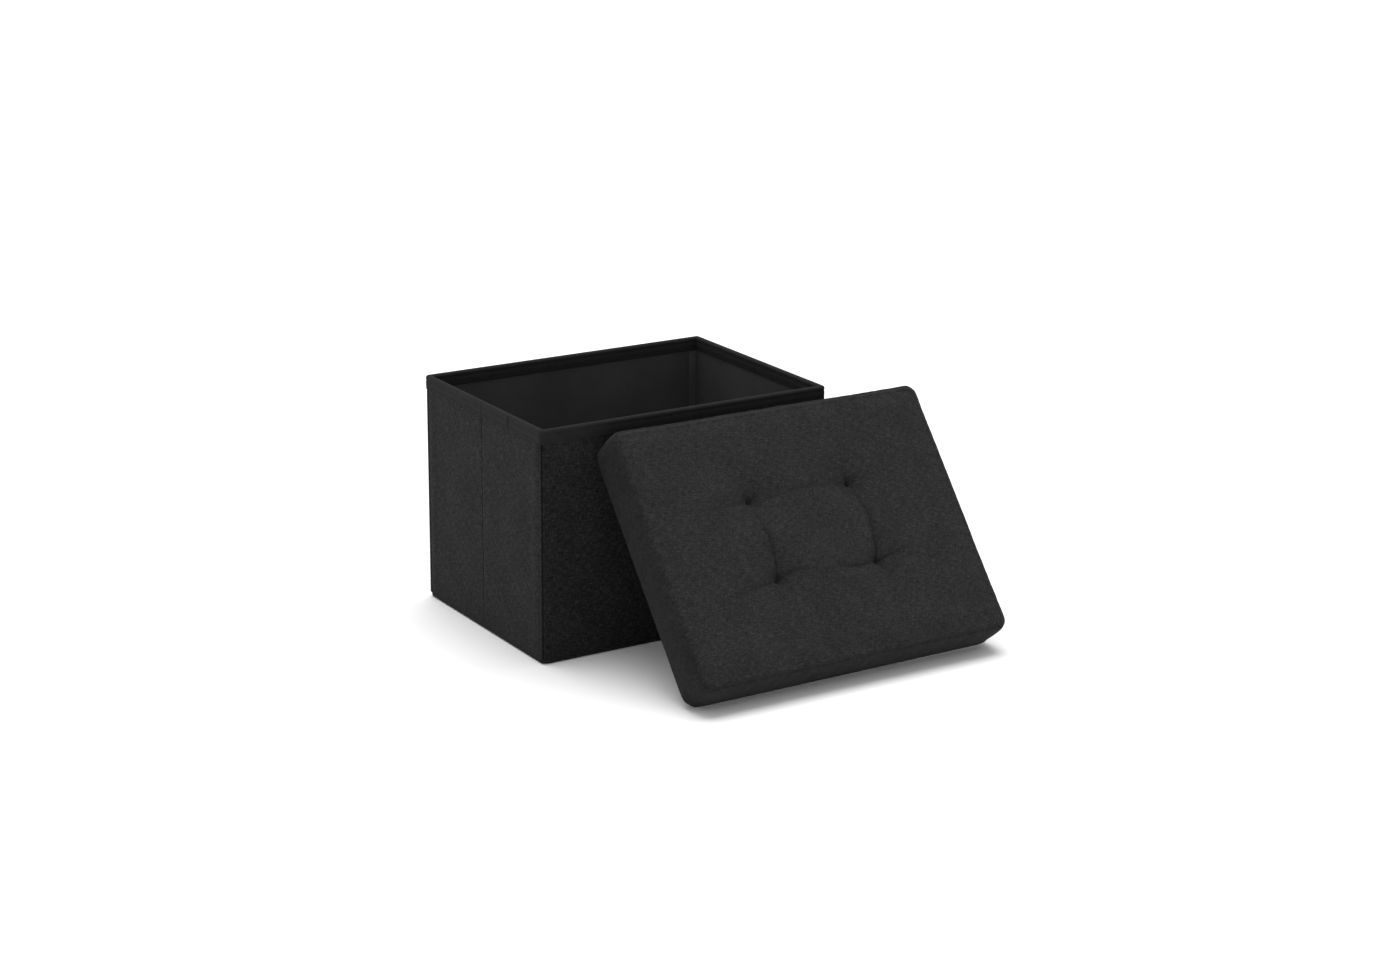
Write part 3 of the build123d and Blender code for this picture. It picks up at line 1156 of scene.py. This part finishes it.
def edge_inset(points):
    """How far each point is inside the lid's rounded outline, in plan."""
    corner = LID_CORNER
    a = np.abs(points[:, 0]) - (LID.half_u - corner)
    b = np.abs(points[:, 1]) - (LID.half_v - corner)
    outside = np.hypot(np.maximum(a, 0), np.maximum(b, 0))
    return corner - outside - np.minimum(np.maximum(a, b), 0)


def detail_lid(cover):
    """Creases, fine slack and the edge seam, painted shade in the creases, tuft pits and side skirt, then
    lean the lid in place.
    """
    mesh = cover.data
    count = len(mesh.vertices)
    points = np.empty(count * 3)
    mesh.vertices.foreach_get("co", points)
    points = points.reshape(-1, 3)
    normals = np.empty(count * 3)
    mesh.vertices.foreach_get("normal", normals)
    normals = normals.reshape(-1, 3)
    top = LID.thickness
    face_up = points[:, 2] > top - 16 * MM
    inside = edge_inset(points)
    drop = np.zeros(count)
    drop[face_up] += crease_depth(points[face_up])
    # Painted shade: the deeper a crease, the darker its cloth.
    shade = np.clip(drop / (1.6 * MM), 0, 1) ** 1.5
    near = tuft_distance(points)
    pit = 2.6 * MM * np.exp(-((near / (3.2 * MM)) ** 2))
    drop[face_up] += pit[face_up]
    # Painted shade in the tuft pits.
    shade = np.maximum(shade, np.where(face_up, 0.9 * np.exp(-((near / (3.4 * MM)) ** 2)), 0))
    level = points[:, 2] / top
    # Painted shade down the side skirt below the seam, darkest at the hem.
    skirt_shade = 1 / (1 + np.exp((points[:, 2] - SEAM_HEIGHT + 1.5 * MM) / (0.8 * MM)))
    shade = np.maximum(shade, skirt_shade * (0.85 - 0.35 * level))
    # The painted shade is stored in the crease attribute, which the lid's linen darkens by.
    mesh.attributes.new("crease", "FLOAT", "POINT").data.foreach_set("value", shade.astype(np.float32))
    slack = np.array([
        0.55 * wobble(p[0], p[1], 60, 17) + 0.28 * wobble(p[0], p[1], 61, 46) for p in points
    ]) * MM
    drop += slack * np.clip((points[:, 2] - 5 * MM) / (10 * MM), 0, 1)
    gap = np.hypot(inside - SEAM_INSET, points[:, 2] - SEAM_HEIGHT + SWELL * 0.3)
    upper = points[:, 2] > top - 14 * MM
    groove = 1.2 * MM * np.exp(-((gap / (1.5 * MM)) ** 2))
    lips = 0.5 * MM * np.exp(-(((gap - 3.6 * MM) / (1.8 * MM)) ** 2))
    seam = groove - lips
    drop += np.where(upper, seam, 0.0)
    points = points - normals * drop[:, None]
    mesh.vertices.foreach_set("co", LID.place(points).ravel())
    mesh.update()


lid_cover()


def lid_lining():
    """The non-woven cloth inside the lid's recess."""
    half_u = LID.half_u - HEM
    half_v = LID.half_v - HEM
    ceiling = RECESS_TOP - 0.9 * MM
    rings = [
        (-0.1 * MM, 0.9 * MM), (0.0, 6 * MM), (0.0, 12 * MM), (0.05 * MM, 18 * MM), (0.1 * MM, 24 * MM),
        (0.3 * MM, ceiling - 2.4 * MM), (1.2 * MM, ceiling - 0.5 * MM),
        (3.2 * MM, ceiling), (8 * MM, ceiling),
    ]
    points, uvs, faces, ring_of = ring_grid(half_u, half_v, rings, 5 * MM, 8 * MM)
    near = tuft_distance(points)
    flat = ring_of == len(rings) - 1
    sag = 0.5 * MM * np.array([wobble(p[0], p[1], 70, 13) for p in points])
    washer = 0.8 * MM / (1 + np.exp((near - 9.5 * MM) / (0.8 * MM)))
    points[:, 2] -= np.where(flat, np.maximum(sag, 0) + washer, 0)
    lining = make_object("lid_recess_lining", LID.place(points), faces, uvs, LINING, "lid", "lining")
    solid = lining.modifiers.new("thickness", "SOLIDIFY")
    solid.thickness = 0.5 * MM
    solid.offset = 1
    apply_modifiers(lining)
    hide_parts("lid_lining")


lid_lining()


# ---------------------------------------------------------------- finishes of the CAD pieces that stay

slots = {s["node"]: s["material_slot"] for s in frame["record"]["subparts"]}
for node, obj in frame["nodes"].items():
    if not obj.hide_render:
        obj.data.materials.clear()
        obj.data.materials.append(FINISH[slots[node]])


# ---------------------------------------------------------------- floor, light and camera

def floor():
    mesh = bpy.data.meshes.new("floor")
    half = 12.0
    corners = [(-half, -half, 0), (half, -half, 0), (half, half, 0), (-half, half, 0)]
    mesh.from_pydata(corners, [], [(0, 1, 2, 3)])
    obj = bpy.data.objects.new("floor", mesh)
    scene.collection.objects.link(obj)
    material, _, shader = new_material("pale_floor", 0.9)
    shader.inputs["Base Color"].default_value = (0.92, 0.92, 0.92, 1)
    shader.inputs["Specular IOR Level"].default_value = 0.0
    mesh.materials.append(material)


def soft_sun(towards_light, angle, strength):
    """One broad light from high behind, as wide as a large ceiling softbox."""
    data = bpy.data.lights.new("softbox", "SUN")
    data.angle = math.radians(angle)
    data.energy = strength
    obj = bpy.data.objects.new("softbox", data)
    obj.rotation_euler = (-Vector(towards_light)).to_track_quat("-Z", "Y").to_euler()
    scene.collection.objects.link(obj)


def world(strength):
    made = bpy.data.worlds.new("studio")
    made.use_nodes = True
    background = made.node_tree.nodes["Background"]
    background.inputs["Color"].default_value = (1, 1, 1, 1)
    background.inputs["Strength"].default_value = strength
    scene.world = made


def camera():
    """A long lens from the front left, a little above the box."""
    azimuth = math.radians(-32.40)
    elevation = math.radians(16.99)
    roll = math.radians(0.55)
    distance = 3.5425
    target = Vector((0.1078, -0.0044, 0.143))
    back = Vector((
        math.sin(azimuth) * math.cos(elevation),
        -math.cos(azimuth) * math.cos(elevation),
        math.sin(elevation),
    ))
    right = Vector((math.cos(azimuth), math.sin(azimuth), 0))
    up = back.cross(right)
    turned_right = right * math.cos(roll) + up * math.sin(roll)
    turned_up = up * math.cos(roll) - right * math.sin(roll)
    data = bpy.data.cameras.new("camera")
    data.lens = 72.77
    data.sensor_width = 36.0
    obj = bpy.data.objects.new("camera", data)
    axes = Matrix((turned_right, turned_up, back)).transposed().to_4x4()
    obj.matrix_world = Matrix.Translation(target + back * distance) @ axes
    scene.collection.objects.link(obj)
    scene.camera = obj


floor()
world(0.72)
soft_sun((0.06, 0.2, 1.0), 50, 2.35)
camera()
scene.view_settings.view_transform = "Standard"
